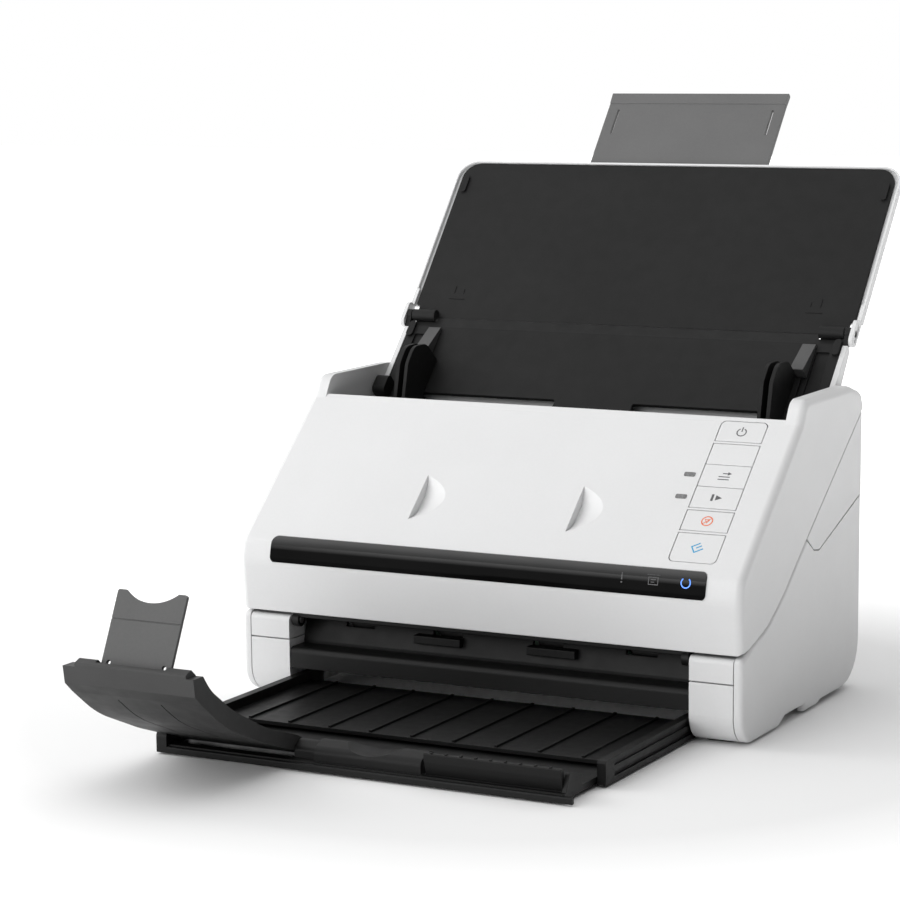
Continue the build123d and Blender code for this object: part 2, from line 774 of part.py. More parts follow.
def rear_cover():
    """Back panel with vent slots and openings for the sockets."""
    outline = [
        (140.0, 3.0, 0.0),
        (BODY_DEPTH, 3.0, 25.0),
        (BODY_DEPTH, 152.6, 4.0),
        (159.4, 152.6, 0.0),
        (159.4, 150.2, 0.0),
        (BODY_DEPTH - WALL, 150.2, 1.6),
        (BODY_DEPTH - WALL, 5.4, 22.6),
        (140.0, 5.4, 0.0),
    ]
    panel = slab_x(outline, -PANEL_HALF + 0.4, PANEL_HALF - 0.4)
    panel -= block((-PANEL_HALF, PANEL_HALF), (100.0, 164.2), (0.0, 40.0))
    panel -= both_sides(block((WING_INNER - 0.6, 150.0), (150.0, 166.4), (140.0, 160.0)))
    for i in range(14):
        x = -104.0 + i * 7.0
        panel -= block((x, x + 3.0), (160.0, 175.0), (84.0, 118.0))
    panel -= block((59.0, 73.0), (160.0, 175.0), (30.0, 42.5))
    panel -= Pos(100.0, 168.0, 36.0) * Rot(90, 0, 0) * Cylinder(6.2, 20.0)
    return panel


def usb_socket():
    """Square data socket on the board's back edge."""
    shell = block((59.6, 72.4), (151.0, 168.2), (30.6, 41.9))
    shell -= block((61.6, 70.4), (156.0, 170.0), (32.6, 39.9))
    tongue = block((63.4, 68.6), (155.5, 166.5), (34.8, 37.6))
    return shell + tongue


def dc_inlet():
    """Round power inlet with its centre pin."""
    body = Pos(100.0, 160.0, 36.0) * Rot(90, 0, 0) * Cylinder(5.9, 16.0)
    body -= Pos(100.0, 163.0, 36.0) * Rot(90, 0, 0) * Cylinder(3.0, 12.0)
    body += Pos(100.0, 161.5, 36.0) * Rot(90, 0, 0) * Cylinder(1.0, 10.0)
    return body + block((94.5, 105.5), (152.2, 158.0), (25.8, 31.0))


def main_board():
    """Main circuit board on the deck, with a few large components."""
    board = block((-84.0, 112.0), (66.0, 156.0), (24.0, 25.7))
    for x, y in ((-76.0, 72.0), (104.0, 72.0), (-76.0, 148.0), (50.0, 148.0)):
        board += Pos(x, y, 22.1) * Cylinder(3.0, 4.0)
    for x, y, size in ((0.0, 110.0, 22.0), (-40.0, 100.0, 14.0), (36.0, 92.0, 12.0)):
        board += Pos(x, y, 26.6) * Box(size, size, 2.0)
    return board


def motor():
    """Drive motor can, fixed to the left frame."""
    y, z, _ = pulley_places()["motor"]
    can = rod_x(y, z, MOTOR_R, -FRAME_X[0] + 0.2, -92.0)
    return can - rod_x(y, z, SHAFT_R + RUNNING_FIT, -FRAME_X[0] - 1.0, -100.0)


def motor_rotor():
    """Motor shaft and its pulley."""
    y, z, radius = pulley_places()["motor"]
    return rod_x(y, z, SHAFT_R, BELT_X[0] + 1.0, -100.5) + pulley(y, z, radius)


def rubber_feet():
    """Four feet under the corners."""
    front = plate(rectangle((121.5, 138.5), (14.5, 27.5), 3.0), 0.0, 1.0, Plane.XY)
    rear = plate(rectangle((121.5, 138.5), (139.0, 155.0), 3.0), 0.0, 3.4, Plane.XY)
    return group([front, rear, other_side(front), other_side(rear)])


def rear_screws():
    """Four pan-head screws in the back panel."""
    screws = []
    for x in (-132.0, 132.0):
        for z in (44.0, 132.0):
            head = Pos(x, BODY_DEPTH + 0.8, z) * Rot(90, 0, 0) * Cylinder(3.4, 1.6)
            cross = block((x - 2.0, x + 2.0), (168.8, 172.0), (z - 0.4, z + 0.4))
            cross += block((x - 0.4, x + 0.4), (168.8, 172.0), (z - 2.0, z + 2.0))
            screws.append(head - cross)
    return group(screws)


# ---------------------------------------------------------------- input tray
def lower_tray_panel():
    """Dark fixed part of the input tray, with slots for the guides and a groove outside each."""
    half = ARM_X[0] - 0.2
    profile = [
        (-94.0, TRAY_FACE - 2.2, 0.0), (-FOLD_GAP, TRAY_FACE - 2.2, 0.0), (-FOLD_GAP, -UPPER_DROP, 0.0),
        (-8.0, TRAY_FACE, 0.0), (-94.0, TRAY_FACE, 0.0),
    ]
    panel = wedge(profile, -half, half, LOWER)
    slot = rectangle((24.0, 120.0), (PINION_S - 2.6, PINION_S + 2.6), 1.2)
    panel -= both_sides(plate(slot, -6.0, 6.0, LOWER))
    groove = rectangle((121.6, 129.4), (-48.0, -13.5), 0.8)
    panel -= both_sides(plate(groove, TRAY_FACE - 1.2, 6.0, LOWER))
    relief = block((BARREL_X[0] - 0.5, half + 1.0), (-BARREL_R - 0.5, 2.0), (-6.0, 6.0), LOWER)
    panel -= both_sides(relief)
    hook = plate(rectangle((130.6, 134.8), (-16.0, -5.2), 2.0), TRAY_FACE - 1.0, TRAY_FACE + 1.6, LOWER)
    return panel + both_sides(hook) + both_sides(fold_knuckle())


def fold_knuckle():
    """Knuckle of the right fold pin, and the black shield under the hinge barrel."""
    inner, outer = ARM_X
    tongue = block((inner - 2.0, outer), (-8.0, -4.2), (-2.2, TRAY_FACE), LOWER)
    link = [(-8.0, -2.2, 0.0), (0.0, -LUG_R, 0.0), (0.0, LUG_R - 0.6, 0.0), (-8.0, TRAY_FACE, 0.0)]
    knuckle = tongue + wedge(link, inner, outer, LOWER)
    knuckle += rod_x(FOLD_Y, FOLD_Z, LUG_R, inner, outer)
    knuckle += rod_x(FOLD_Y, FOLD_Z, FOLD_PIN_R, outer - 0.5, RIM_X[1] - 0.6)
    shield = [
        (-10.0, -2.0, 0.0), (-10.0, -6.4, 0.0), (3.0, -6.4, 0.0),
        (3.0, -4.6, 0.0), (-8.0, -4.6, 0.0), (-8.0, -2.0, 0.0),
    ]
    return knuckle + wedge(shield, BARREL_X[0] - 0.6, inner - 0.2, LOWER)


def lower_tray_shell():
    """White arms and back of the fixed part of the input tray."""
    inner, outer = ARM_X
    web = [(-86.0, -15.0, 2.0), (-8.2, -4.8, 2.0), (-8.2, TRAY_FACE, 0.6), (-86.0, TRAY_FACE, 0.0)]
    arm = wedge(web, inner, outer, LOWER)
    sheet = [(-84.0, -14.7, 0.0), (-12.0, -5.4, 0.0), (-12.0, -3.4, 0.0), (-84.0, -12.6, 0.0)]
    shell = both_sides(arm) + wedge(sheet, -outer + 0.5, outer - 0.5, LOWER)
    for x in (-90.0, -30.0, 30.0, 90.0):
        shell += block((x - 0.9, x + 0.9), (-82.0, -73.0), (-13.0, TRAY_FACE - 2.3), LOWER)
    return shell + pinion_post()


def tray_mounts():
    """Black rounded lugs that key the input tray into the base, one each side."""
    lug = block((129.4, 137.2), (-62.0, -50.0), (TRAY_FACE, 9.0), LOWER)
    lug = fillet(lug.edges().filter_by(Axis.X), 3.0)
    return group([lug, other_side(lug)])


def upper_tray_panel():
    """Dark face of the folding part of the input tray, with its hinge barrels."""
    half = RIM_X[0] - 1.4
    top = UPPER_LENGTH - 1.7
    radius = TRAY_CORNER_R - 1.7
    corners = [(-half, 9.0, 0.5), (half, 9.0, 0.5), (half, top, radius), (-half, top, radius)]
    panel = plate(corners, -1.8, 0.0, UPPER)
    root = BARREL_X[1]
    panel += block((-root, root), (FOLD_GAP, 9.4), (-1.8, 0.0), UPPER)
    panel += both_sides(rod_x(FOLD_Y, FOLD_Z, BARREL_R, *BARREL_X))
    bump = plate(rectangle((131.8, 135.4), (91.0, 103.0), 1.7), -1.0, 1.2, UPPER)
    return panel + both_sides(bump)


def tray_outline(inset, low):
    """Outline of the folding part, with large corners at its top end."""
    half = RIM_X[1] - inset
    top = UPPER_LENGTH - inset
    radius = TRAY_CORNER_R - inset
    return [(-half, low, 0.0), (half, low, 0.0), (half, top, radius), (-half, top, radius)]


def upper_tray_shell():
    """White rim and back of the folding part, with its two fold lugs."""
    rim_inset = 1.2
    rim = plate(tray_outline(0.0, 9.5), -3.8, 0.5, UPPER)
    rim -= plate(tray_outline(rim_inset, 0.0), -5.0, 2.0, UPPER)
    flank = plate(tray_outline(0.0, 9.5), -3.8, -1.9, UPPER)
    middle = EXTENSION_HALF + 2.0
    flank -= block((-middle, middle), (0.0, UPPER_LENGTH + 1.0), (-9.0, 2.0), UPPER)
    channel = block((-middle, middle), (9.5, UPPER_LENGTH), (-6.4, -4.7), UPPER)
    rail = block((EXTENSION_HALF + 0.3, middle), (9.5, UPPER_LENGTH), (-6.4, -1.9), UPPER)
    mouth = block((-EXTENSION_HALF - 0.3, EXTENSION_HALF + 0.3), (100.0, 130.0), (-4.7, -1.9), UPPER)
    shell = rim + flank + channel + both_sides(rail) - mouth
    pill = [(-8.0, -1.8, 3.5), (8.2, -1.8, 3.5), (8.2, 5.5, 3.5), (-8.0, 5.5, 3.5)]
    lug = wedge(pill, RIM_X[0], RIM_X[1], UPPER)
    lug += wedge([(0.0, -1.8, 0.0), (20.0, -1.8, 0.0), (20.0, 0.5, 0.0), (0.0, 0.5, 0.0)], *RIM_X, UPPER)
    dish = [(-5.8, 0.2, 1.6), (5.8, 0.2, 1.6), (5.8, 3.6, 1.6), (-5.8, 3.6, 1.6)]
    lug -= wedge(dish, RIM_X[1] - 0.6, RIM_X[1] + 1.0, UPPER)
    lug -= rod_x(FOLD_Y, FOLD_Z, FOLD_PIN_R + RUNNING_FIT, RIM_X[0] - 1.0, RIM_X[1] + 1.0)
    return shell + both_sides(lug)


def tray_extension():
    """Grey sliding plate that lengthens the input tray."""
    low = 58.0
    corners = [
        (-EXTENSION_HALF, low, 1.0), (EXTENSION_HALF, low, 1.0),
        (EXTENSION_HALF, EXTENSION_TOP, 2.0), (-EXTENSION_HALF, EXTENSION_TOP, 2.0),
    ]
    sheet = plate(corners, -4.2, -2.2, UPPER)
    cap = [
        (EXTENSION_TOP - 7.5, -4.3, 0.4), (EXTENSION_TOP, -4.9, 1.0),
        (EXTENSION_TOP, -1.1, 1.2), (EXTENSION_TOP - 7.5, -1.7, 0.4),
    ]
    sheet += wedge(cap, -EXTENSION_HALF, EXTENSION_HALF, UPPER)
    for side in (-1, 1):
        x = side * (EXTENSION_HALF - 7.0)
        slit = rectangle((x - 0.6, x + 0.6), (EXTENSION_TOP - 30.0, EXTENSION_TOP - 12.0), 0.4)
        sheet -= plate(slit, -6.0, 2.0, UPPER)
    return sheet


# ---------------------------------------------------------------- edge guides
def guide_outline():
    """Side outline of an edge guide, standing off the tray, in (along, off) axes."""
    return [
        (-32.0, TRAY_FACE + 0.4, 0.0), (-33.0, 17.0, 11.0), (-43.0, 27.0, 9.0),
        (-55.0, 26.6, 9.0), (-90.0, 6.4, 2.0), (-90.0, TRAY_FACE + 0.4, 0.0),
    ]


def edge_guide():
    """Right edge guide: two upright plates on a foot, with a stem down to its rack."""
    guide = wedge(guide_outline(), LETTER_HALF, LETTER_HALF + 2.0, LOWER)
    guide += wedge(guide_outline(), LETTER_HALF + 5.2, LETTER_HALF + 7.4, LOWER)
    foot = rectangle((LETTER_HALF, LETTER_HALF + 10.5), (-89.0, -32.5), 1.5)
    guide += plate(foot, TRAY_FACE + 0.3, TRAY_FACE + 2.0, LOWER)
    stem_x = (LETTER_HALF + 1.0, LETTER_HALF + 8.0)
    guide += block(stem_x, (PINION_S - 2.0, PINION_S + 2.0), (-4.0, TRAY_FACE + 1.0), LOWER)
    return guide


def rack():
    """Toothed bar under the tray that ties the right guide to the pinion."""
    pitch_line = PINION_S + PINION_R
    back = pitch_line + 4.2
    root = pitch_line + 1.3 * RACK_MODULE
    x_high = LETTER_HALF + 8.0
    bar = block((-14.0, x_high), (root, back), (-6.2, -3.8), LOWER)
    count = int((x_high - 34.0 + 14.0) / TOOTH_PITCH)
    teeth = []
    for i in range(count):
        x = (i - 4 + 0.5) * TOOTH_PITCH
        corners = [
            (x - 1.05, root + 0.2, 0.0), (x + 1.05, root + 0.2, 0.0),
            (x + 0.32, pitch_line - 0.9, 0.0), (x - 0.32, pitch_line - 0.9, 0.0),
        ]
        teeth.append(plate(corners, -6.2, -3.8, LOWER))
    bar = bar + teeth
    arm = block((LETTER_HALF + 1.0, x_high), (PINION_S - 2.0, back), (-6.2, -3.8), LOWER)
    return bar + arm


def guide_pinion():
    """Pinion between the two racks."""
    hub = Cylinder(PINION_R - 1.3 * RACK_MODULE, 2.4)
    teeth = []
    for i in range(PINION_TEETH):
        corners = [
            (PINION_R - 1.6, -0.95), (PINION_R, -0.5), (PINION_R + 0.85, -0.22),
            (PINION_R + 0.85, 0.22), (PINION_R, 0.5), (PINION_R - 1.6, 0.95),
        ]
        face = make_face(Polyline(*corners, close=True))
        tooth = Pos(0, 0, -1.2) * extrude(face, amount=2.4, dir=(0, 0, 1))
        teeth.append(Rot(0, 0, 90.0 + i * 360.0 / PINION_TEETH) * tooth)
    wheel = hub + teeth
    wheel -= Cylinder(2.0 + RUNNING_FIT, 10.0)
    return LOWER * (Pos(0, PINION_S, -5.0) * wheel)


def pinion_post():
    """Post on the tray's back that the pinion turns on."""
    return LOWER * (Pos(0, PINION_S, -7.1) * Cylinder(2.0, 6.6))


def guide_pointer():
    """Grey pointer on the right edge guide, sloping down to the tray's face."""
    outline = [(-9.5, TRAY_FACE + 0.3, 0.3), (-9.5, 1.7, 0.6), (-31.9, 8.0, 0.6), (-31.9, TRAY_FACE + 0.3, 0.3)]
    return wedge(outline, LETTER_HALF + 5.0, LETTER_HALF + 12.8, LOWER)


# ---------------------------------------------------------------- output tray
def output_tray():
    """First stage of the output tray: floor between two long side rails."""
    floor = block((-112.8, 112.8), (-79.0, 14.0), (6.6, 8.6))
    for x in range(-96, 97, 24):
        floor += block((x - 0.7, x + 0.7), (-78.0, 12.0), (8.5, 9.7))
    outline = [(STAGE_FRONT, 1.2, 1.0), (26.0, 1.2, 0.0), (26.0, 13.6, 3.0), (STAGE_FRONT, 13.6, 1.6)]
    rail = slab_x(outline, 112.7, RAIL_HALF)
    rail -= block((RAIL_HALF - 1.4, RAIL_HALF + 1.0), (STAGE_FRONT + 10.0, 30.0), (4.0, 6.4))
    rail -= block((RAIL_HALF - 1.0, RAIL_HALF + 1.0), (STAGE_FRONT + 10.0, 30.0), (9.4, 11.6))
    return floor + both_sides(rail)


def fence_outline():
    """Front fence right of the grip, in (y, z)."""
    return [
        (-128.6, 5.0, 0.0), (-127.0, 5.0, 0.0), (-128.4, 16.6, 0.0), (-131.2, 16.6, 0.6), (-130.6, 12.0, 3.0),
    ]


def output_slide():
    """Second stage of the output tray: floor, front lip, fence, grip and ramp brackets."""
    tray = block((-112.2, 112.2), (-132.0, -44.0), (2.0, 5.2))
    lip = [(LIP_FRONT, 0.9, 0.5), (-131.6, 0.9, 0.0), (-131.6, 4.4, 0.5), (LIP_FRONT, 4.4, 0.8)]
    tray += slab_x(lip, -117.0, 117.0)
    side = [(-131.0, 2.2, 2.0), (-112.6, 2.2, 0.0), (-112.6, 11.0, 1.0), (-126.0, 14.4, 2.0)]
    tray += slab_x(side, 109.8, 112.2)
    tray += slab_x(fence_outline(), 36.0, 110.0)
    for i in range(9):
        x = 40.0 + i * 8.0
        tray += block((x - 0.5, x + 0.5), (-131.0, -128.8), (16.4, 17.2))
    barrel = [
        (-130.2, 5.0, 0.0), (-112.4, 5.0, 0.0), (-113.0, 11.0, 4.0), (-120.0, 15.4, 6.0), (-130.6, 12.0, 4.0),
    ]
    grip = slab_x(barrel, -26.0, 34.0)
    dish = Pos(4.0, -118.0, 44.0) * Rot(90, 0, 0) * Cylinder(33.0, 60.0)
    tray += grip - dish
    bracket = [
        (-126.0, 5.0, 0.0), (-114.0, 5.0, 0.0), (-114.0, 11.0, 4.0), (-120.0, 14.0, 4.0), (-126.0, 10.0, 3.0),
    ]
    tray += slab_x(bracket, -39.9, -28.0)
    end_cap = [
        (-130.6, 5.0, 0.0), (-113.0, 5.0, 0.0), (-113.0, 14.0, 4.0), (-120.0, 18.0, 5.0), (-130.6, 14.6, 5.0),
    ]
    tray += slab_x(end_cap, -112.2, RAMP_ROOT_LOW - 0.3)
    corner = [
        (LIP_FRONT, 0.9, 0.5), (LIP_FRONT + 6.0, 0.9, 0.5),
        (LIP_FRONT + 6.0, 15.0, 2.0), (LIP_FRONT, 11.0, 4.0),
    ]
    tray += slab_x(corner, -117.0, RAMP_ROOT_LOW - 0.3)
    tray += rod_x(RAMP_PIVOT[0], RAMP_PIVOT[1], 1.8, -112.0, -38.0)
    tray -= block((RAMP_ROOT_LOW - 0.1, RAMP_X[1] + 0.4), (-125.6, -112.0), (4.0, 5.3))
    return tray


def ramp_profile():
    """Side outline of the ski-jump ramp, hinged at its low end."""
    return [
        (-113.9, 11.0, 2.5), (-122.0, 15.4, 20.0), (-151.0, 25.3, 90.0),
        (-181.0, 40.6, 90.0), (-200.0, 54.4, 30.0), (-206.6, 63.1, 0.6),
        (-210.2, 66.1, 0.8), (-215.0, 64.3, 1.2), (-213.4, 53.6, 1.0),
        (-207.4, 48.2, 4.0), (-188.0, 33.2, 90.0), (-152.0, 17.7, 90.0),
        (-126.0, 8.4, 10.0), (-119.0, 5.2, 3.0), (-113.9, 6.2, 2.0),
    ]


def ramp_groove():
    """Outline that leaves a shallow groove along the ramp's underside."""
    return [
        (-130.0, 4.0, 0.0), (-130.0, 10.5, 0.0), (-152.0, 18.3, 90.0), (-188.0, 33.9, 90.0),
        (-203.4, 45.8, 1.0), (-209.0, 44.0, 0.0), (-188.0, 28.0, 0.0), (-152.0, 8.0, 0.0),
    ]


def output_ramp():
    """Curved ramp that lifts the sheet ends, with two shallow grooves underneath."""
    ramp = slab_x(ramp_profile(), RAMP_X[0], RAMP_X[1])
    for x in (RAMP_X[0] + 24.0, RAMP_X[1] - 26.0):
        ramp -= slab_x(ramp_groove(), x, x + 0.7)
    ramp -= rod_x(RAMP_PIVOT[0], RAMP_PIVOT[1], 1.8 + RUNNING_FIT, RAMP_X[0] - 1.0, RAMP_X[1] + 1.0)
    step = [(-205.0, 62.5, 0.0), (-205.0, 75.0, 0.0), (-220.0, 75.0, 0.0), (-220.0, 62.5, 0.0)]
    ramp -= slab_x(step, RAMP_X[0] - 1.0, RAMP_X[0] + 7.0)
    ramp -= slab_x(step, RAMP_X[1] - 4.0, RAMP_X[1] + 1.0)
    root = [(-134.6, 0.0, 0.0), (-110.0, 0.0, 0.0), (-110.0, 30.0, 0.0), (-134.6, 30.0, 0.0)]
    ramp -= slab_x(root, RAMP_X[0] - 1.0, RAMP_ROOT_LOW)
    knuckle = [
        (-196.5, 51.5, 0.0), (-196.5, 75.0, 0.0), (-212.6, 75.0, 0.0),
        (-212.6, 55.6, 0.0), (-204.2, 55.6, 0.0),
    ]
    ramp -= slab_x(knuckle, STOP_X[0] - 0.3, STOP_X[1] + 0.3)
    ramp += rod_x(STOP_PIVOT[0], STOP_PIVOT[1], 1.2, STOP_X[0] - 1.0, STOP_X[1] + 1.0)
    return ramp


def output_stop():
    """Paper stop at the end of the ramp, with a round notch in its top edge."""
    plane = sloped_plane(STOP_PIVOT[0], STOP_PIVOT[1], STOP_LEAN_DEG)
    corners = [
        (STOP_X[0], 0.0, 0.0), (STOP_X[1], 0.0, 0.0),
        (STOP_X[1], STOP_LENGTH, 1.2), (STOP_X[0], STOP_LENGTH, 1.2),
    ]
    leaf = plate(corners, -0.9, 0.9, plane)
    middle = (STOP_X[0] + STOP_X[1]) / 2
    leaf -= plane * (Pos(middle, STOP_LENGTH + 18.0, 0) * Cylinder(23.5, 10.0))
    leaf -= block((STOP_X[0] - 1.0, STOP_X[1] + 1.0), (25.0, 25.6), (0.6, 2.0), plane)
    for x in (STOP_X[0] + 4.0, STOP_X[1] - 4.0):
        leaf -= plane * (Pos(x, 3.6, 0) * Cylinder(1.2, 10.0))
    leaf += rod_x(STOP_PIVOT[0], STOP_PIVOT[1], 2.3, STOP_X[0], STOP_X[1])
    leaf -= rod_x(STOP_PIVOT[0], STOP_PIVOT[1], 1.2 + RUNNING_FIT, STOP_X[0] - 1.0, STOP_X[1] + 1.0)
    return leaf


# ---------------------------------------------------------------- assembly
def cover_parts():
    """Nodes that ride on the cover."""
    caps = keys()
    made = {
        "cover_shell": cover_shell(),
        "gloss_strip": gloss_strip(),
        "status_windows": group(led_windows()),
        "upper_guide": upper_guide(),
        "exit_lip": exit_lip(),
        "key_board": key_board(),
        "key_filler": caps.pop("filler"),
        "upper_sensor_unit": sensor_unit(1),
        "upper_sensor_glass": sensor_glass(1),
    }
    for name, cap in caps.items():
        made[f"{name}_key"] = cap
    return made


def roller_parts():
    """Rollers with their shafts and pulleys, the belt and the motor."""
    places = pulley_places()
    made = {
        "exit_roller_tyres": tyres(TYRE_SPANS, EXIT_S, DRIVE_R, -1, SHAFT_R),
        "transport_roller_tyres": tyres(TYRE_SPANS, TRANSPORT_S, DRIVE_R, -1, SHAFT_R),
        "feed_roller_tyres": tyres(FEED_SPANS, FEED_S, FEED_R, -1, SHAFT_R),
        "exit_pinch_roller": pinch_roller(TYRE_SPANS, EXIT_S, EXIT_PINCH_R),
        "transport_pinch_roller": pinch_roller(TYRE_SPANS, TRANSPORT_S, TRANSPORT_PINCH_R),
        "separation_roller": pinch_roller(FEED_SPANS, FEED_S, SEPARATION_R),
        "drive_belt": drive_belt(),
        "drive_motor": motor(),
        "motor_rotor": motor_rotor(),
    }
    driven = (("exit", EXIT_S, DRIVE_R), ("transport", TRANSPORT_S, DRIVE_R), ("feed", FEED_S, FEED_R))
    for name, s, radius in driven:
        made[f"{name}_roller_shaft"] = drive_shaft(s, radius) + pulley(*places[name])
    return made


def base_parts():
    """Fixed nodes of the base."""
    frame = side_frame()
    return {
        "bottom_chassis": bottom_chassis(),
        "side_frames": group([frame, other_side(frame)]),
        "right_side_panel": side_panel(1),
        "left_side_panel": side_panel(-1),
        "front_corners": group([corner_block(), other_side(corner_block())]),
        "hinge_caps": group([hinge_cap(), other_side(hinge_cap())]),
        "hinge_pins": group([hinge_pin(), other_side(hinge_pin())]),
        "exit_ledge": exit_ledge(),
        "exit_wall": exit_wall(),
        "lower_guide": lower_guide(),
        "lower_sensor_unit": sensor_unit(-1),
        "lower_sensor_glass": sensor_glass(-1),
        "rear_cover": rear_cover(),
        "usb_socket": usb_socket(),
        "dc_inlet": dc_inlet(),
        "main_board": main_board(),
        "rubber_feet": rubber_feet(),
        "rear_screws": rear_screws(),
        "lower_tray_panel": lower_tray_panel(),
        "lower_tray_shell": lower_tray_shell(),
        "tray_mounts": tray_mounts(),
        "cover_lever": cover_lever(),
    }


def tray_parts():
    """Nodes of the input tray's moving pieces and of the output tray."""
    right = edge_guide()
    pointer = guide_pointer()
    return {
        "upper_tray_panel": upper_tray_panel(),
        "upper_tray_shell": upper_tray_shell(),
        "tray_extension": tray_extension(),
        "right_edge_guide": right + rack(),
        "left_edge_guide": other_side(right) + turned_rack(),
        "right_guide_pointer": pointer,
        "left_guide_pointer": other_side(pointer),
        "guide_pinion": guide_pinion(),
        "output_tray": output_tray(),
        "output_slide": output_slide(),
        "output_ramp": output_ramp(),
        "output_stop": output_stop(),
    }


def turned_rack():
    """The left rack: the right one turned half round about the pinion."""
    axis_point = LOWER.from_local_coords(Vector(0, PINION_S, 0))
    axis = Axis(axis_point, LOWER.z_dir)
    return rack().rotate(axis, 180.0)


def main():
    os.makedirs("parts", exist_ok=True)
    parts = {**base_parts(), **cover_parts(), **roller_parts(), **tray_parts()}
    shift = Pos(0, -ORIGIN_Y, 0)
    low = min(shape.bounding_box().min.Y for shape in parts.values())
    high = max(shape.bounding_box().max.Y for shape in parts.values())
    print("nodes", len(parts), "middle of the depth", round((low + high) / 2, 3))
    for name, shape in parts.items():
        export_step(shift * shape, f"parts/{name}.step")


if __name__ == "__main__":
    main()
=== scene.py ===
import json
import math

import bpy
from mathutils import Matrix, Vector
from mathutils.bvhtree import BVHTree


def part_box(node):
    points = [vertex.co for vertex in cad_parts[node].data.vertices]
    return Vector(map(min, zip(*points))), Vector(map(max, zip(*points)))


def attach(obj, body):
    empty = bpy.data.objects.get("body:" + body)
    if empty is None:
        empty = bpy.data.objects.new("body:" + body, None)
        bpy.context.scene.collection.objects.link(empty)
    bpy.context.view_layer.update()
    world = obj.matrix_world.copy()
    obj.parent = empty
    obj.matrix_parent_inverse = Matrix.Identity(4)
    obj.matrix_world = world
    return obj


# Looks of the sheet-fed document scanner: materials for the CAD nodes, printed marks,
# moulded size marks, and a plain studio. Everything is in metres, in the row frame.

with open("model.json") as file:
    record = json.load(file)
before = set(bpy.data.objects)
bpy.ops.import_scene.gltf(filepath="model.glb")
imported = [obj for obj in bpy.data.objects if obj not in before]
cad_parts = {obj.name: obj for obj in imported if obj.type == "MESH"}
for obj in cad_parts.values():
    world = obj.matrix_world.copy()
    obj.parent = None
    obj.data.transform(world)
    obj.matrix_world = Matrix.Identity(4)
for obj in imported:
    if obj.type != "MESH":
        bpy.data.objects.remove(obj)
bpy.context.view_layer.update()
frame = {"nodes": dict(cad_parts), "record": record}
record = frame["record"]
MM = 0.001

# Camera, as fitted to the view the machine is shown in. Angles are in degrees, lens and sensor in mm.
CAMERA_AZIMUTH = 28.2
CAMERA_ELEVATION = 10.52
CAMERA_ROLL = 0.61
CAMERA_PLACE = (0.6923, -1.36241, 0.3642)
CAMERA_SENSOR = 36.0
CAMERA_LENS = 116.06
CAMERA_SHIFT_UP = 0.123

# Soft lights: name, place, target, size, power in watts.
SOFTBOXES = (
    ("top_light", (-0.3, -0.1, 1.9), (0, 0, 0.1), (2.2, 2.2), 3),
    ("front_light", (-0.7, -2.4, 0.45), (0, 0, 0.1), (1.6, 1.6), 20),
    ("back_light", (0.6, 1.9, 1.4), (0, 0, 0.2), (1.8, 1.2), 2),
    ("left_light", (-0.9, -0.3, 0.6), (-0.1, 0, 0.1), (0.5, 0.5), 2.4),
)
FLOOR_REACH = 6.0
FLOOR_GLOW_FROM = 0.26
FLOOR_GLOW_FULL = 0.7
SURROUND_BRIGHT = 1.0
SURROUND_DIM = 0.05
SURROUND_DIM_SIDE = (0.98, -0.10, -0.10)

# Moulded plastic: fineness and depth of the grain that the trays share.
TRAY_GRAIN = 0.5 * MM
TRAY_DEPTH = 0.02 * MM


# ---------------------------------------------------------------- reading the frame
def joint(name):
    """The record's joint of that name."""
    return next(j for j in record["behaviour"]["joints"] if j["name"] == name)


def surface_tree(node):
    """Ray-casting tree of a CAD node's mesh."""
    mesh = frame["nodes"][node].data
    points = [v.co.copy() for v in mesh.vertices]
    return BVHTree.FromPolygons(points, [tuple(p.vertices) for p in mesh.polygons])


class Place:
    """A local frame on a surface: origin, u to the right, v up the surface and its outward normal."""

    def __init__(self, origin, u, normal):
        self.origin = Vector(origin)
        self.normal = Vector(normal).normalized()
        self.u = (Vector(u) - self.normal * Vector(u).dot(self.normal)).normalized()
        self.v = self.normal.cross(self.u)

    def point(self, u, v, off=0.0):
        """Point at (u, v), a little off the surface if asked."""
        return self.origin + self.u * u + self.v * v + self.normal * off


def node_points(node):
    """Vertices of a CAD node, in the row frame."""
    return [v.co for v in frame["nodes"][node].data.vertices]


def top_place(node, normal):
    """Place at the middle of a node's outermost flat, facing along a normal."""
    normal = Vector(normal).normalized()
    points = node_points(node)
    top = max(p.dot(normal) for p in points)
    flat = [p for p in points if p.dot(normal) > top - 0.05 * MM]
    place = Place((0, 0, 0), (1, 0, 0), normal)
    us = [p.dot(place.u) for p in flat]
    vs = [p.dot(place.v) for p in flat]
    middle = (place.u * (min(us) + max(us)) + place.v * (min(vs) + max(vs))) / 2
    place.origin = middle + normal * top
    return place


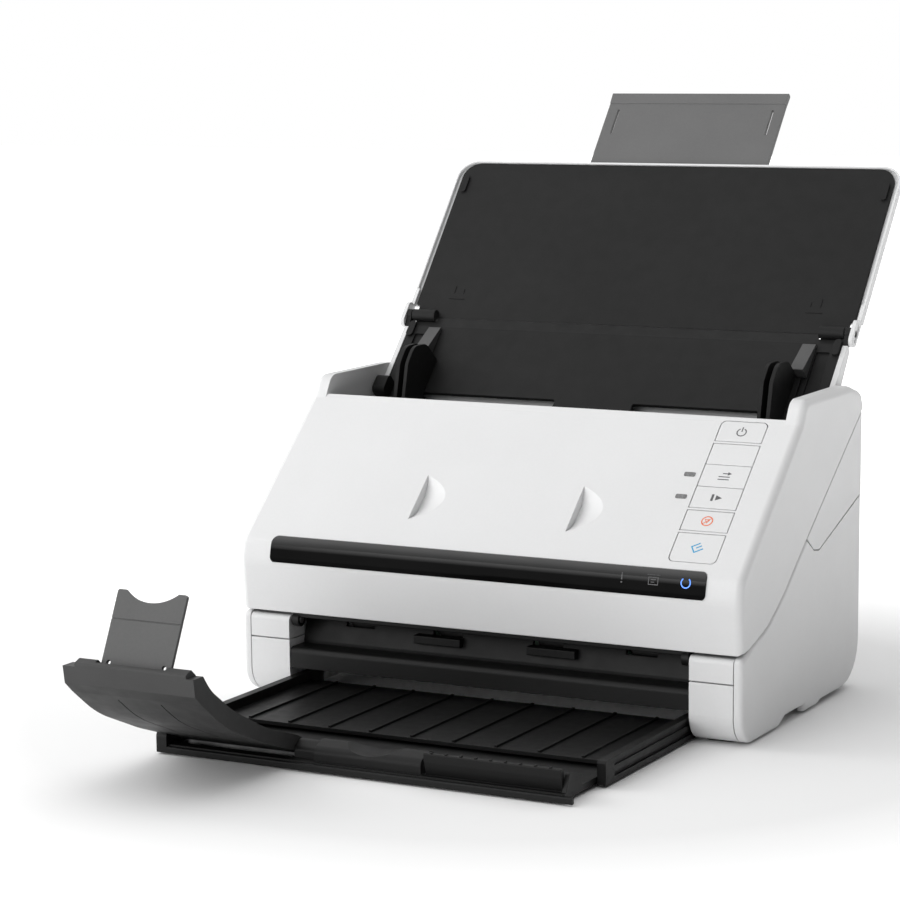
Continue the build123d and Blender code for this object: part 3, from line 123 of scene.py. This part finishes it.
# ---------------------------------------------------------------- materials
class Nodes:
    """A new material with short calls to add and join its nodes."""

    def __init__(self, name):
        self.material = bpy.data.materials.new(name)
        self.material.use_nodes = True
        self.tree = self.material.node_tree
        self.shader = self.tree.nodes["Principled BSDF"]
        self.coords = self.tree.nodes.new("ShaderNodeTexCoord").outputs["Object"]

    def new(self, kind, **values):
        """Add a node. Upper-case keys set inputs and lower-case ones set properties."""
        node = self.tree.nodes.new(kind)
        for key, value in values.items():
            if key[0].isupper():
                self.put(node.inputs[key.replace("_", " ")], value)
            else:
                setattr(node, key, value)
        return node

    def put(self, socket, value):
        """Link a socket to an input, or set the input's value."""
        if isinstance(value, bpy.types.NodeSocket):
            self.tree.links.new(value, socket)
        else:
            socket.default_value = value

    def set(self, **values):
        """Set inputs of the surface shader."""
        for key, value in values.items():
            self.put(self.shader.inputs[key.replace("_", " ")], value)

    def scaled(self, scale):
        """Object coordinates stretched by a factor along each axis."""
        mapping = self.new("ShaderNodeMapping", Vector=self.coords)
        mapping.inputs["Scale"].default_value = scale
        return mapping.outputs["Vector"]

    def noise(self, size, detail=3.0, coords=None, roughness=0.5):
        """Noise whose blobs are about that size in metres."""
        node = self.new("ShaderNodeTexNoise", Vector=coords or self.coords, Scale=1.0 / size, Detail=detail)
        node.inputs["Roughness"].default_value = roughness
        return node.outputs["Fac"]

    def ranged(self, value, low, high, from_low=0.3, from_high=0.7):
        """Map a value to a range, clamped."""
        node = self.new("ShaderNodeMapRange", Value=value)
        node.inputs["From Min"].default_value = from_low
        node.inputs["From Max"].default_value = from_high
        node.inputs["To Min"].default_value = low
        node.inputs["To Max"].default_value = high
        return node.outputs["Result"]

    def mixed(self, factor, a, b):
        """Mix of two colours."""
        node = self.tree.nodes.new("ShaderNodeMix")
        node.data_type = "RGBA"
        self.put(node.inputs[0], factor)
        self.put(node.inputs[6], a)
        self.put(node.inputs[7], b)
        return node.outputs[2]

    def added(self, a, b):
        node = self.tree.nodes.new("ShaderNodeMath")
        node.operation = "ADD"
        self.put(node.inputs[0], a)
        self.put(node.inputs[1], b)
        return node.outputs[0]

    def times(self, a, b):
        node = self.tree.nodes.new("ShaderNodeMath")
        node.operation = "MULTIPLY"
        self.put(node.inputs[0], a)
        self.put(node.inputs[1], b)
        return node.outputs[0]

    def bump(self, height, depth, edge=0.0):
        """Bump of a depth in metres, over slightly rounded edges."""
        node = self.new("ShaderNodeBump", Height=height, Distance=depth, Strength=1.0)
        if edge:
            bevel = self.new("ShaderNodeBevel", samples=4, Radius=edge)
            self.put(node.inputs["Normal"], bevel.outputs["Normal"])
        self.set(Normal=node.outputs["Normal"])


def rgb(value):
    """A colour with full alpha from three numbers or one grey."""
    return (*value, 1.0) if hasattr(value, "__len__") else (value, value, value, 1.0)


def moulded(name, low, high, roughness, grain=0.45 * MM, depth=0.012 * MM, edge=0.35 * MM, specular=0.5):
    """Moulded plastic with an eroded grain, soft cloudiness and slightly rounded edges."""
    n = Nodes(name)
    cloud = n.noise(55 * MM, 4.0)
    fine = n.noise(grain, 2.0)
    coarse = n.noise(grain * 3.1, 2.0)
    speck = n.noise(1.3 * MM, 3.0)
    tone = n.added(n.ranged(cloud, 0.0, 0.7), n.ranged(speck, 0.0, 0.3, 0.35, 0.65))
    n.set(Base_Color=n.mixed(tone, rgb(low), rgb(high)))
    n.set(Roughness=n.ranged(n.noise(9 * MM, 4.0), roughness - 0.05, roughness + 0.05))
    n.set(Specular_IOR_Level=specular)
    height = n.added(n.times(fine, 0.6), n.times(coarse, 0.4))
    n.bump(height, depth, edge)
    return n.material


def ramp_grey_painted_shade():
    """Tray grey with painted shade: faces that point downward get a darker base colour."""
    material = moulded("ramp_grey_plastic", 0.034, 0.042, 0.5, TRAY_GRAIN, TRAY_DEPTH, specular=0.35)
    tree = material.node_tree
    shader = tree.nodes["Principled BSDF"]
    tone = shader.inputs["Base Color"].links[0].from_socket
    geometry = tree.nodes.new("ShaderNodeNewGeometry")
    split = tree.nodes.new("ShaderNodeSeparateXYZ")
    tree.links.new(geometry.outputs["True Normal"], split.inputs[0])
    # Painted shade: the base colour is scaled down on faces whose normal points downward.
    facing = tree.nodes.new("ShaderNodeMapRange")
    tree.links.new(split.outputs["Z"], facing.inputs["Value"])
    facing.inputs["From Min"].default_value = -0.75
    facing.inputs["From Max"].default_value = -0.45
    facing.inputs["To Min"].default_value = 0.35
    facing.inputs["To Max"].default_value = 1.0
    shade = tree.nodes.new("ShaderNodeVectorMath")
    shade.operation = "SCALE"
    tree.links.new(tone, shade.inputs[0])
    tree.links.new(facing.outputs["Result"], shade.inputs["Scale"])
    tree.links.new(shade.outputs[0], shader.inputs["Base Color"])
    return material


def gloss_black():
    """Polished black acrylic with a painted reflection: lighter grey and more specular over the brow, with a
    hint of wave and fine haze.
    """
    n = Nodes("gloss_black")
    low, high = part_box("gloss_strip")
    height = n.new("ShaderNodeSeparateXYZ", Vector=n.coords).outputs["Z"]
    # Painted reflection: towards the top of the strip the base colour turns lighter grey and the specular
    # rises.
    painted_reflection = n.ranged(height, 0.0, 1.0, low.z + 7.0 * MM, high.z)
    haze = n.ranged(n.noise(30 * MM, 5.0), 0.0, 1.0)
    lower = n.mixed(haze, rgb(0.003), rgb(0.0045))
    upper = n.mixed(haze, rgb(0.040), rgb(0.048))
    n.set(Base_Color=n.mixed(painted_reflection, lower, upper))
    n.set(Roughness=n.ranged(n.noise(2.2 * MM, 5.0), 0.10, 0.15))
    n.set(Specular_IOR_Level=n.ranged(painted_reflection, 0.02, 0.55, 0.0, 1.0))
    n.bump(n.noise(16 * MM, 2.0), 0.01 * MM, 0.3 * MM)
    return n.material


def window_grey():
    """Smoked light pipe."""
    n = Nodes("window_grey")
    bands = n.noise(2.0 * MM, 2.0, n.scaled((1.0, 0.2, 0.2)))
    n.set(Base_Color=n.mixed(n.ranged(bands, 0.0, 1.0), rgb(0.10), rgb(0.19)))
    n.set(Roughness=n.ranged(n.noise(1.0 * MM, 3.0), 0.2, 0.34), Coat_Weight=0.4)
    n.bump(n.noise(0.8 * MM, 2.0), 0.01 * MM, 0.2 * MM)
    return n.material


def steel(name, stretch, tone=0.5):
    """Brushed steel whose scratches run along one axis."""
    n = Nodes(name)
    lines = n.noise(1.2 * MM, 5.0, n.scaled(stretch), 0.7)
    blotch = n.noise(20 * MM, 4.0)
    brighter = (tone * 1.13, tone * 1.13, tone * 1.15)
    n.set(Base_Color=n.mixed(n.ranged(blotch, 0.0, 1.0), rgb(tone), rgb(brighter)))
    n.set(Metallic=1.0, Roughness=n.ranged(lines, 0.24, 0.42))
    n.bump(lines, 0.008 * MM, 0.25 * MM)
    return n.material


def rubber(name, tone):
    """Matte rubber with fine pores and a dusty bloom."""
    n = Nodes(name)
    bloom = n.noise(14 * MM, 5.0)
    pores = n.noise(0.5 * MM, 4.0)
    n.set(Base_Color=n.mixed(n.ranged(bloom, 0.0, 1.0), rgb(tone), rgb(tone * 1.5)))
    n.set(Roughness=n.ranged(pores, 0.72, 0.9), Specular_IOR_Level=0.3)
    n.bump(pores, 0.03 * MM, 0.3 * MM)
    return n.material


def circuit_board():
    """Green solder mask over copper tracks."""
    n = Nodes("circuit_board")
    tracks = n.new("ShaderNodeTexBrick", Vector=n.scaled((1.0, 1.0, 1.0)), Scale=160.0)
    tracks.inputs["Mortar Size"].default_value = 0.06
    tracks.inputs["Color1"].default_value = rgb((0.006, 0.07, 0.028))
    tracks.inputs["Color2"].default_value = rgb((0.004, 0.05, 0.02))
    tracks.inputs["Mortar"].default_value = rgb((0.02, 0.14, 0.05))
    n.set(Base_Color=tracks.outputs["Color"])
    n.set(Roughness=n.ranged(n.noise(3 * MM, 3.0), 0.3, 0.45), Coat_Weight=0.3)
    n.bump(tracks.outputs["Fac"], 0.03 * MM, 0.2 * MM)
    return n.material


def sensor_glass():
    """Greenish glass over a dark scanning bar."""
    n = Nodes("sensor_glass")
    smear = n.noise(18 * MM, 4.0)
    n.set(Base_Color=n.mixed(n.ranged(smear, 0.0, 1.0), rgb((0.72, 0.8, 0.78)), rgb((0.8, 0.86, 0.84))))
    n.set(Roughness=n.ranged(smear, 0.02, 0.07), IOR=1.5, Transmission_Weight=0.9)
    n.bump(n.noise(12 * MM, 2.0), 0.004 * MM)
    return n.material


def printed(name, color, roughness=0.5):
    """Pad-printed ink with an uneven film."""
    n = Nodes(name)
    film = n.noise(0.6 * MM, 3.0)
    darker = [c * 0.88 for c in color]
    n.set(Base_Color=n.mixed(n.ranged(film, 0.0, 1.0), rgb(darker), rgb(color)))
    n.set(Roughness=n.ranged(film, roughness - 0.06, roughness + 0.06))
    n.bump(film, 0.006 * MM)
    return n.material


def lit(name, color, strength):
    """Glowing light pipe."""
    n = Nodes(name)
    spread = n.noise(1.5 * MM, 2.0)
    n.set(Base_Color=rgb(color), Roughness=n.ranged(spread, 0.25, 0.35))
    n.set(Emission_Color=rgb(color), Emission_Strength=n.ranged(spread, strength * 0.85, strength))
    n.bump(spread, 0.004 * MM)
    return n.material


white = moulded("white_plastic", (0.695, 0.697, 0.70), (0.725, 0.727, 0.73), 0.5)
key_white = moulded(
    "key_plastic", (0.69, 0.692, 0.695), (0.72, 0.722, 0.725), 0.46, 0.35 * MM, 0.008 * MM, 0.2 * MM,
)
SLOT_MATERIALS = {
    "body_white": white,
    "inner_grey": moulded("grey_plastic", 0.30, 0.345, 0.48),
    "tray_charcoal": moulded("charcoal_plastic", 0.009, 0.012, 0.56, TRAY_GRAIN, TRAY_DEPTH, specular=0.2),
    "tray_grey": moulded("tray_grey_plastic", 0.115, 0.135, 0.5, TRAY_GRAIN, TRAY_DEPTH, specular=0.35),
    "output_black": moulded("black_plastic", 0.005, 0.007, 0.46, TRAY_GRAIN, TRAY_DEPTH, specular=0.22),
    "strip_black": gloss_black(),
    "window_grey": window_grey(),
    "steel": steel("brushed_steel", (1.0, 1.0, 8.0)),
    "roller_rubber": rubber("roller_rubber", 0.03),
    "board_green": circuit_board(),
    "socket_metal": steel("plated_metal", (1.0, 6.0, 1.0), 0.6),
    "sensor_glass": sensor_glass(),
}
NODE_MATERIALS = {f"{k}_key": key_white for k in ("power", "feed_mode", "skip", "stop", "start")}
NODE_MATERIALS["key_filler"] = key_white
pointer_grey = moulded("pointer_grey", 0.055, 0.066, 0.45)
NODE_MATERIALS["left_guide_pointer"] = pointer_grey
NODE_MATERIALS["right_guide_pointer"] = pointer_grey
NODE_MATERIALS["output_ramp"] = ramp_grey_painted_shade()
NODE_MATERIALS["output_stop"] = moulded(
    "stop_grey_plastic", 0.075, 0.09, 0.5, TRAY_GRAIN, TRAY_DEPTH, specular=0.4,
)
ink_grey = printed("ink_grey", (0.10, 0.10, 0.105))
ink_orange = printed("ink_orange", (0.82, 0.17, 0.055))
ink_blue = printed("ink_blue", (0.02, 0.34, 0.62))
ink_faint = printed("ink_faint", (0.05, 0.05, 0.052), 0.3)
label_silver = printed("label_silver", (0.52, 0.52, 0.53), 0.38)
glow_blue = lit("glow_blue", (0.08, 0.24, 0.85), 1.1)


def paint_nodes():
    """Give every CAD node its finished material."""
    for part in record["subparts"]:
        node = frame["nodes"][part["node"]]
        material = NODE_MATERIALS.get(part["node"], SLOT_MATERIALS[part["material_slot"]])
        for slot in node.material_slots:
            slot.material = material


# ---------------------------------------------------------------- building meshes
def mesh_piece(name, points, faces, material, body, smooth=False):
    """A closed mesh that rides on a body."""
    mesh = bpy.data.meshes.new(name)
    mesh.from_pydata([tuple(p) for p in points], [], faces)
    mesh.validate()
    mesh.materials.append(material)
    for polygon in mesh.polygons:
        polygon.use_smooth = smooth
    piece = bpy.data.objects.new(name, mesh)
    bpy.context.scene.collection.objects.link(piece)
    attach(piece, body)
    return piece


def ribbon(points, width, closed=False):
    """Strips of quads, in (u, v), that follow a polyline with mitred corners."""
    count = len(points)
    left = []
    right = []
    for i, (u, v) in enumerate(points):
        before = points[i - 1] if closed or i > 0 else None
        after = points[(i + 1) % count] if closed or i < count - 1 else None
        arms = []
        if before is not None:
            arms.append(Vector((u - before[0], v - before[1])).normalized())
        if after is not None:
            arms.append(Vector((after[0] - u, after[1] - v)).normalized())
        along = sum(arms, Vector((0.0, 0.0))).normalized()
        reach = width / 2 / max(0.3, along.dot(arms[0]))
        side = Vector((-along.y, along.x)) * reach
        left.append((u + side.x, v + side.y))
        right.append((u - side.x, v - side.y))
    steps = range(count if closed else count - 1)
    return [[left[i], right[i], right[(i + 1) % count], left[(i + 1) % count]] for i in steps]


def arc(middle, radius, start, end, steps=24):
    """Points round an arc, in degrees."""
    turns = [math.radians(start + (end - start) * i / steps) for i in range(steps + 1)]
    return [(middle[0] + radius * math.cos(t), middle[1] + radius * math.sin(t)) for t in turns]


def turned(points, angle):
    """Points turned about the middle of their mark, in degrees."""
    c = math.cos(math.radians(angle))
    s = math.sin(math.radians(angle))
    return [(c * u - s * v, s * u + c * v) for u, v in points]


def mark(name, outlines, place, material, body, height=0.06 * MM, sunk=0.12 * MM, tree=None):
    """Thin closed prisms of flat outlines, laid on a surface. Outlines are convex and in millimetres."""
    points = []
    faces = []
    for outline in outlines:
        start = len(points)
        count = len(outline)
        area = sum(a[0] * b[1] - b[0] * a[1] for a, b in zip(outline, outline[1:] + outline[:1]))
        ordered = outline if area > 0 else outline[::-1]
        for off in (-sunk, height):
            for u, v in ordered:
                point = place.point(u * MM, v * MM)
                if tree is not None:
                    hit = tree.ray_cast(point + place.normal * 20 * MM, -place.normal)
                    point = hit[0] if hit[0] is not None else point
                points.append(point + place.normal * off)
        faces.append([start + i for i in range(count)][::-1])
        faces.append([start + count + i for i in range(count)])
        for i in range(count):
            j = (i + 1) % count
            faces.append([start + i, start + j, start + count + j, start + count + i])
    return mesh_piece(name, points, faces, material, body)


# ---------------------------------------------------------------- printed marks
def key_marks():
    """Generic pictograms on the keys."""
    def on(key):
        inward = Vector(joint(f"{key}_key_press")["axis"])
        return top_place(f"{key}_key", -inward)

    power = ribbon(arc((0, -0.3), 2.5, 118, 422, 36), 0.62) + ribbon([(0, 3.2), (0, 0.1)], 0.62)
    mark("power_mark", power, on("power"), ink_grey, "power_key")
    feed = ribbon([(-3.2, -2.3), (3.0, -2.3)], 0.55) + ribbon([(-3.2, -0.5), (3.0, -0.5)], 0.55)
    feed += ribbon([(-1.4, 1.7), (1.8, 1.7)], 0.55) + [[(1.4, 0.6), (3.6, 1.7), (1.4, 2.8)]]
    mark("feed_mode_mark", feed, on("feed_mode"), ink_grey, "feed_mode_key")
    skip = [[(-2.8, -2.2), (-1.5, -2.2), (-1.5, 2.2), (-2.8, 2.2)], [(-0.3, -1.7), (3.2, 0.0), (-0.3, 1.7)]]
    mark("skip_mark", skip, on("skip"), ink_grey, "skip_key")
    stop = ribbon(arc((0, 0), 2.9, 0, 345, 40), 0.6, True)
    stop += ribbon([(-1.3, 1.1), (1.3, 1.1), (0.0, -1.3)], 0.35, True)
    stop += ribbon([(-2.0, -1.9), (2.0, 1.9)], 0.4)
    mark("stop_mark", stop, on("stop"), ink_orange, "stop_key")
    start = ribbon(turned([(2.7, 2.1), (-2.1, 2.1), (-2.1, -2.1), (2.9, -2.1)], 33), 0.7)
    start += ribbon(turned([(2.9, 0.1), (-0.3, 0.1)], 33), 0.65)
    mark("start_mark", start, on("start"), ink_blue, "start_key")


def strip_marks():
    """Alert, sheet and power-ring lights in the gloss strip."""
    low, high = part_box("gloss_strip")
    tree = surface_tree("gloss_strip")
    level = low.z + 8.1 * MM

    def at(x):
        return Place((x * MM, low.y, level), (1, 0, 0), (0, -1, 0))

    ring = ribbon(arc((0, 0), 2.5, 130, 410, 36), 0.55)
    mark("ring_light", ring, at(117.3), glow_blue, "cover", height=0.12 * MM, tree=tree)
    alert = ribbon([(0, 2.6), (0, 1.4), (0, 0.2), (0, -0.9)], 0.7) + ribbon([(0, -1.8), (0, -2.6)], 0.8)
    mark("alert_light", alert, at(81.8), ink_faint, "cover", height=0.12 * MM, tree=tree)
    sheet = ribbon([(-2.6, -2.2), (0.0, -2.2), (2.6, -2.2), (2.6, -0.4), (2.6, 1.4), (0.0, 1.4), (-2.6, 1.4),
                    (-2.6, -0.4)], 0.4, True)
    sheet += ribbon([(-3.6, 2.6), (-1.2, 2.6), (1.2, 2.6), (3.6, 2.6)], 0.4)
    sheet += ribbon([(-1.4, 0.3), (0.0, 0.3), (1.4, 0.3)], 0.35) + ribbon([(-1.4, -1.0), (0.6, -1.0)], 0.35)
    mark("sheet_light", sheet, at(99.4), ink_faint, "cover", height=0.12 * MM, tree=tree)


def tray_marks():
    """Moulded size marks on the folding tray and a blank rating plate on the back."""
    panel = frame["nodes"]["upper_tray_panel"].data
    slide = Vector(joint("extension_slide")["axis"])
    normal = Vector((1, 0, 0)).cross(slide)
    fold = Vector(joint("tray_fold")["pos_m"])
    face = max((v.co - fold).dot(normal) for v in panel.vertices if (v.co - fold).dot(slide) > 110.0 * MM)
    above_fold = 14.0 * MM
    from_middle = 112.0 * MM
    for side, name in ((1, "right"), (-1, "left")):
        spot = fold + slide * above_fold + normal * face + Vector((side * from_middle, 0, 0))
        place = Place(spot, (1, 0, 0), normal)
        ticks = ribbon([(-5.0, 0.0), (5.0, 0.0)], 0.5)
        ticks += ribbon([(side * 3.0, 4.0), (side * 3.0, 9.0)], 0.5)
        ticks += ribbon([(side * -3.0, 4.0), (side * -3.0, 7.0)], 0.5)
        charcoal = SLOT_MATERIALS["tray_charcoal"]
        mark(f"{name}_size_marks", ticks, place, charcoal, "upper_tray", height=0.25 * MM)
    low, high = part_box("rear_cover")
    place = Place((-58.0 * MM, high.y, 62.0 * MM), (-1, 0, 0), (0, 1, 0))
    plate = [[(-24, -11), (24, -11), (24, 11), (-24, 11)]]
    mark("rating_plate", plate, place, label_silver, "base", height=0.12 * MM)
    lines = []
    for row in range(4):
        lines += ribbon([(-21.0, 7.0 - row * 4.2), (4.0 + 4.0 * (row % 2), 7.0 - row * 4.2)], 0.7)
    lines += ribbon([(12, -7), (20, -7), (20, 1), (12, 1)], 0.5, True)
    mark("rating_lines", lines, place, ink_grey, "base", height=0.16 * MM, sunk=0.02 * MM)


# ---------------------------------------------------------------- studio
def pale_floor():
    """Plain pale floor that glows away from the machine, so that it stays white there."""
    mesh = bpy.data.meshes.new("floor")
    r = FLOOR_REACH
    mesh.from_pydata([(-r, -r, 0), (r, -r, 0), (r, r, 0), (-r, r, 0)], [], [(0, 1, 2, 3)])
    floor = bpy.data.objects.new("floor", mesh)
    bpy.context.scene.collection.objects.link(floor)
    n = Nodes("floor_paint")
    n.set(Base_Color=n.mixed(n.noise(0.4, 2.0), rgb(0.94), rgb(0.96)), Roughness=0.9, Specular_IOR_Level=0.0)
    distance = n.new("ShaderNodeVectorMath", operation="LENGTH")
    n.put(distance.inputs[0], n.coords)
    glow = n.ranged(distance.outputs["Value"], 0.0, 1.0, FLOOR_GLOW_FROM, FLOOR_GLOW_FULL)
    n.set(Emission_Color=rgb(1.0), Emission_Strength=glow)
    mesh.materials.append(n.material)


def surround():
    """White surround that fades on the right, so that the right side of the machine is shaded."""
    world = bpy.data.worlds.new("surround")
    world.use_nodes = True
    tree = world.node_tree
    direction = tree.nodes.new("ShaderNodeTexCoord").outputs["Generated"]
    dot = tree.nodes.new("ShaderNodeVectorMath")
    dot.operation = "DOT_PRODUCT"
    tree.links.new(direction, dot.inputs[0])
    dot.inputs[1].default_value = SURROUND_DIM_SIDE
    fade = tree.nodes.new("ShaderNodeMapRange")
    tree.links.new(dot.outputs["Value"], fade.inputs["Value"])
    fade.inputs["From Min"].default_value = -0.15
    fade.inputs["From Max"].default_value = 0.75
    fade.inputs["To Min"].default_value = SURROUND_BRIGHT
    fade.inputs["To Max"].default_value = SURROUND_DIM
    tree.links.new(fade.outputs["Result"], tree.nodes["Background"].inputs["Strength"])
    tree.nodes["Background"].inputs["Color"].default_value = rgb(1.0)
    bpy.context.scene.world = world
    bpy.context.scene.view_settings.view_transform = "Standard"


def softbox(name, place, target, size, power):
    """Square area light aimed at a target."""
    data = bpy.data.lights.new(name, "AREA")
    data.shape = "RECTANGLE"
    data.size = size[0]
    data.size_y = size[1]
    data.energy = power
    light = bpy.data.objects.new(name, data)
    bpy.context.scene.collection.objects.link(light)
    light.location = place
    light.rotation_euler = (Vector(target) - Vector(place)).to_track_quat("-Z", "Y").to_euler()


def camera():
    """Camera at the photograph's angle."""
    azimuth = math.radians(CAMERA_AZIMUTH)
    elevation = math.radians(CAMERA_ELEVATION)
    roll = math.radians(CAMERA_ROLL)
    data = bpy.data.cameras.new("camera")
    data.sensor_width = CAMERA_SENSOR
    data.lens = CAMERA_LENS
    data.shift_y = CAMERA_SHIFT_UP
    view = bpy.data.objects.new("camera", data)
    bpy.context.scene.collection.objects.link(view)
    level = math.cos(elevation)
    forward = Vector((-math.sin(azimuth) * level, math.cos(azimuth) * level, -math.sin(elevation)))
    turn = Matrix.Rotation(roll, 4, forward) @ forward.to_track_quat("-Z", "Y").to_matrix().to_4x4()
    view.matrix_world = Matrix.Translation(CAMERA_PLACE) @ turn
    bpy.context.scene.camera = view


paint_nodes()
key_marks()
strip_marks()
tray_marks()
pale_floor()
surround()
for light in SOFTBOXES:
    softbox(*light)
camera()
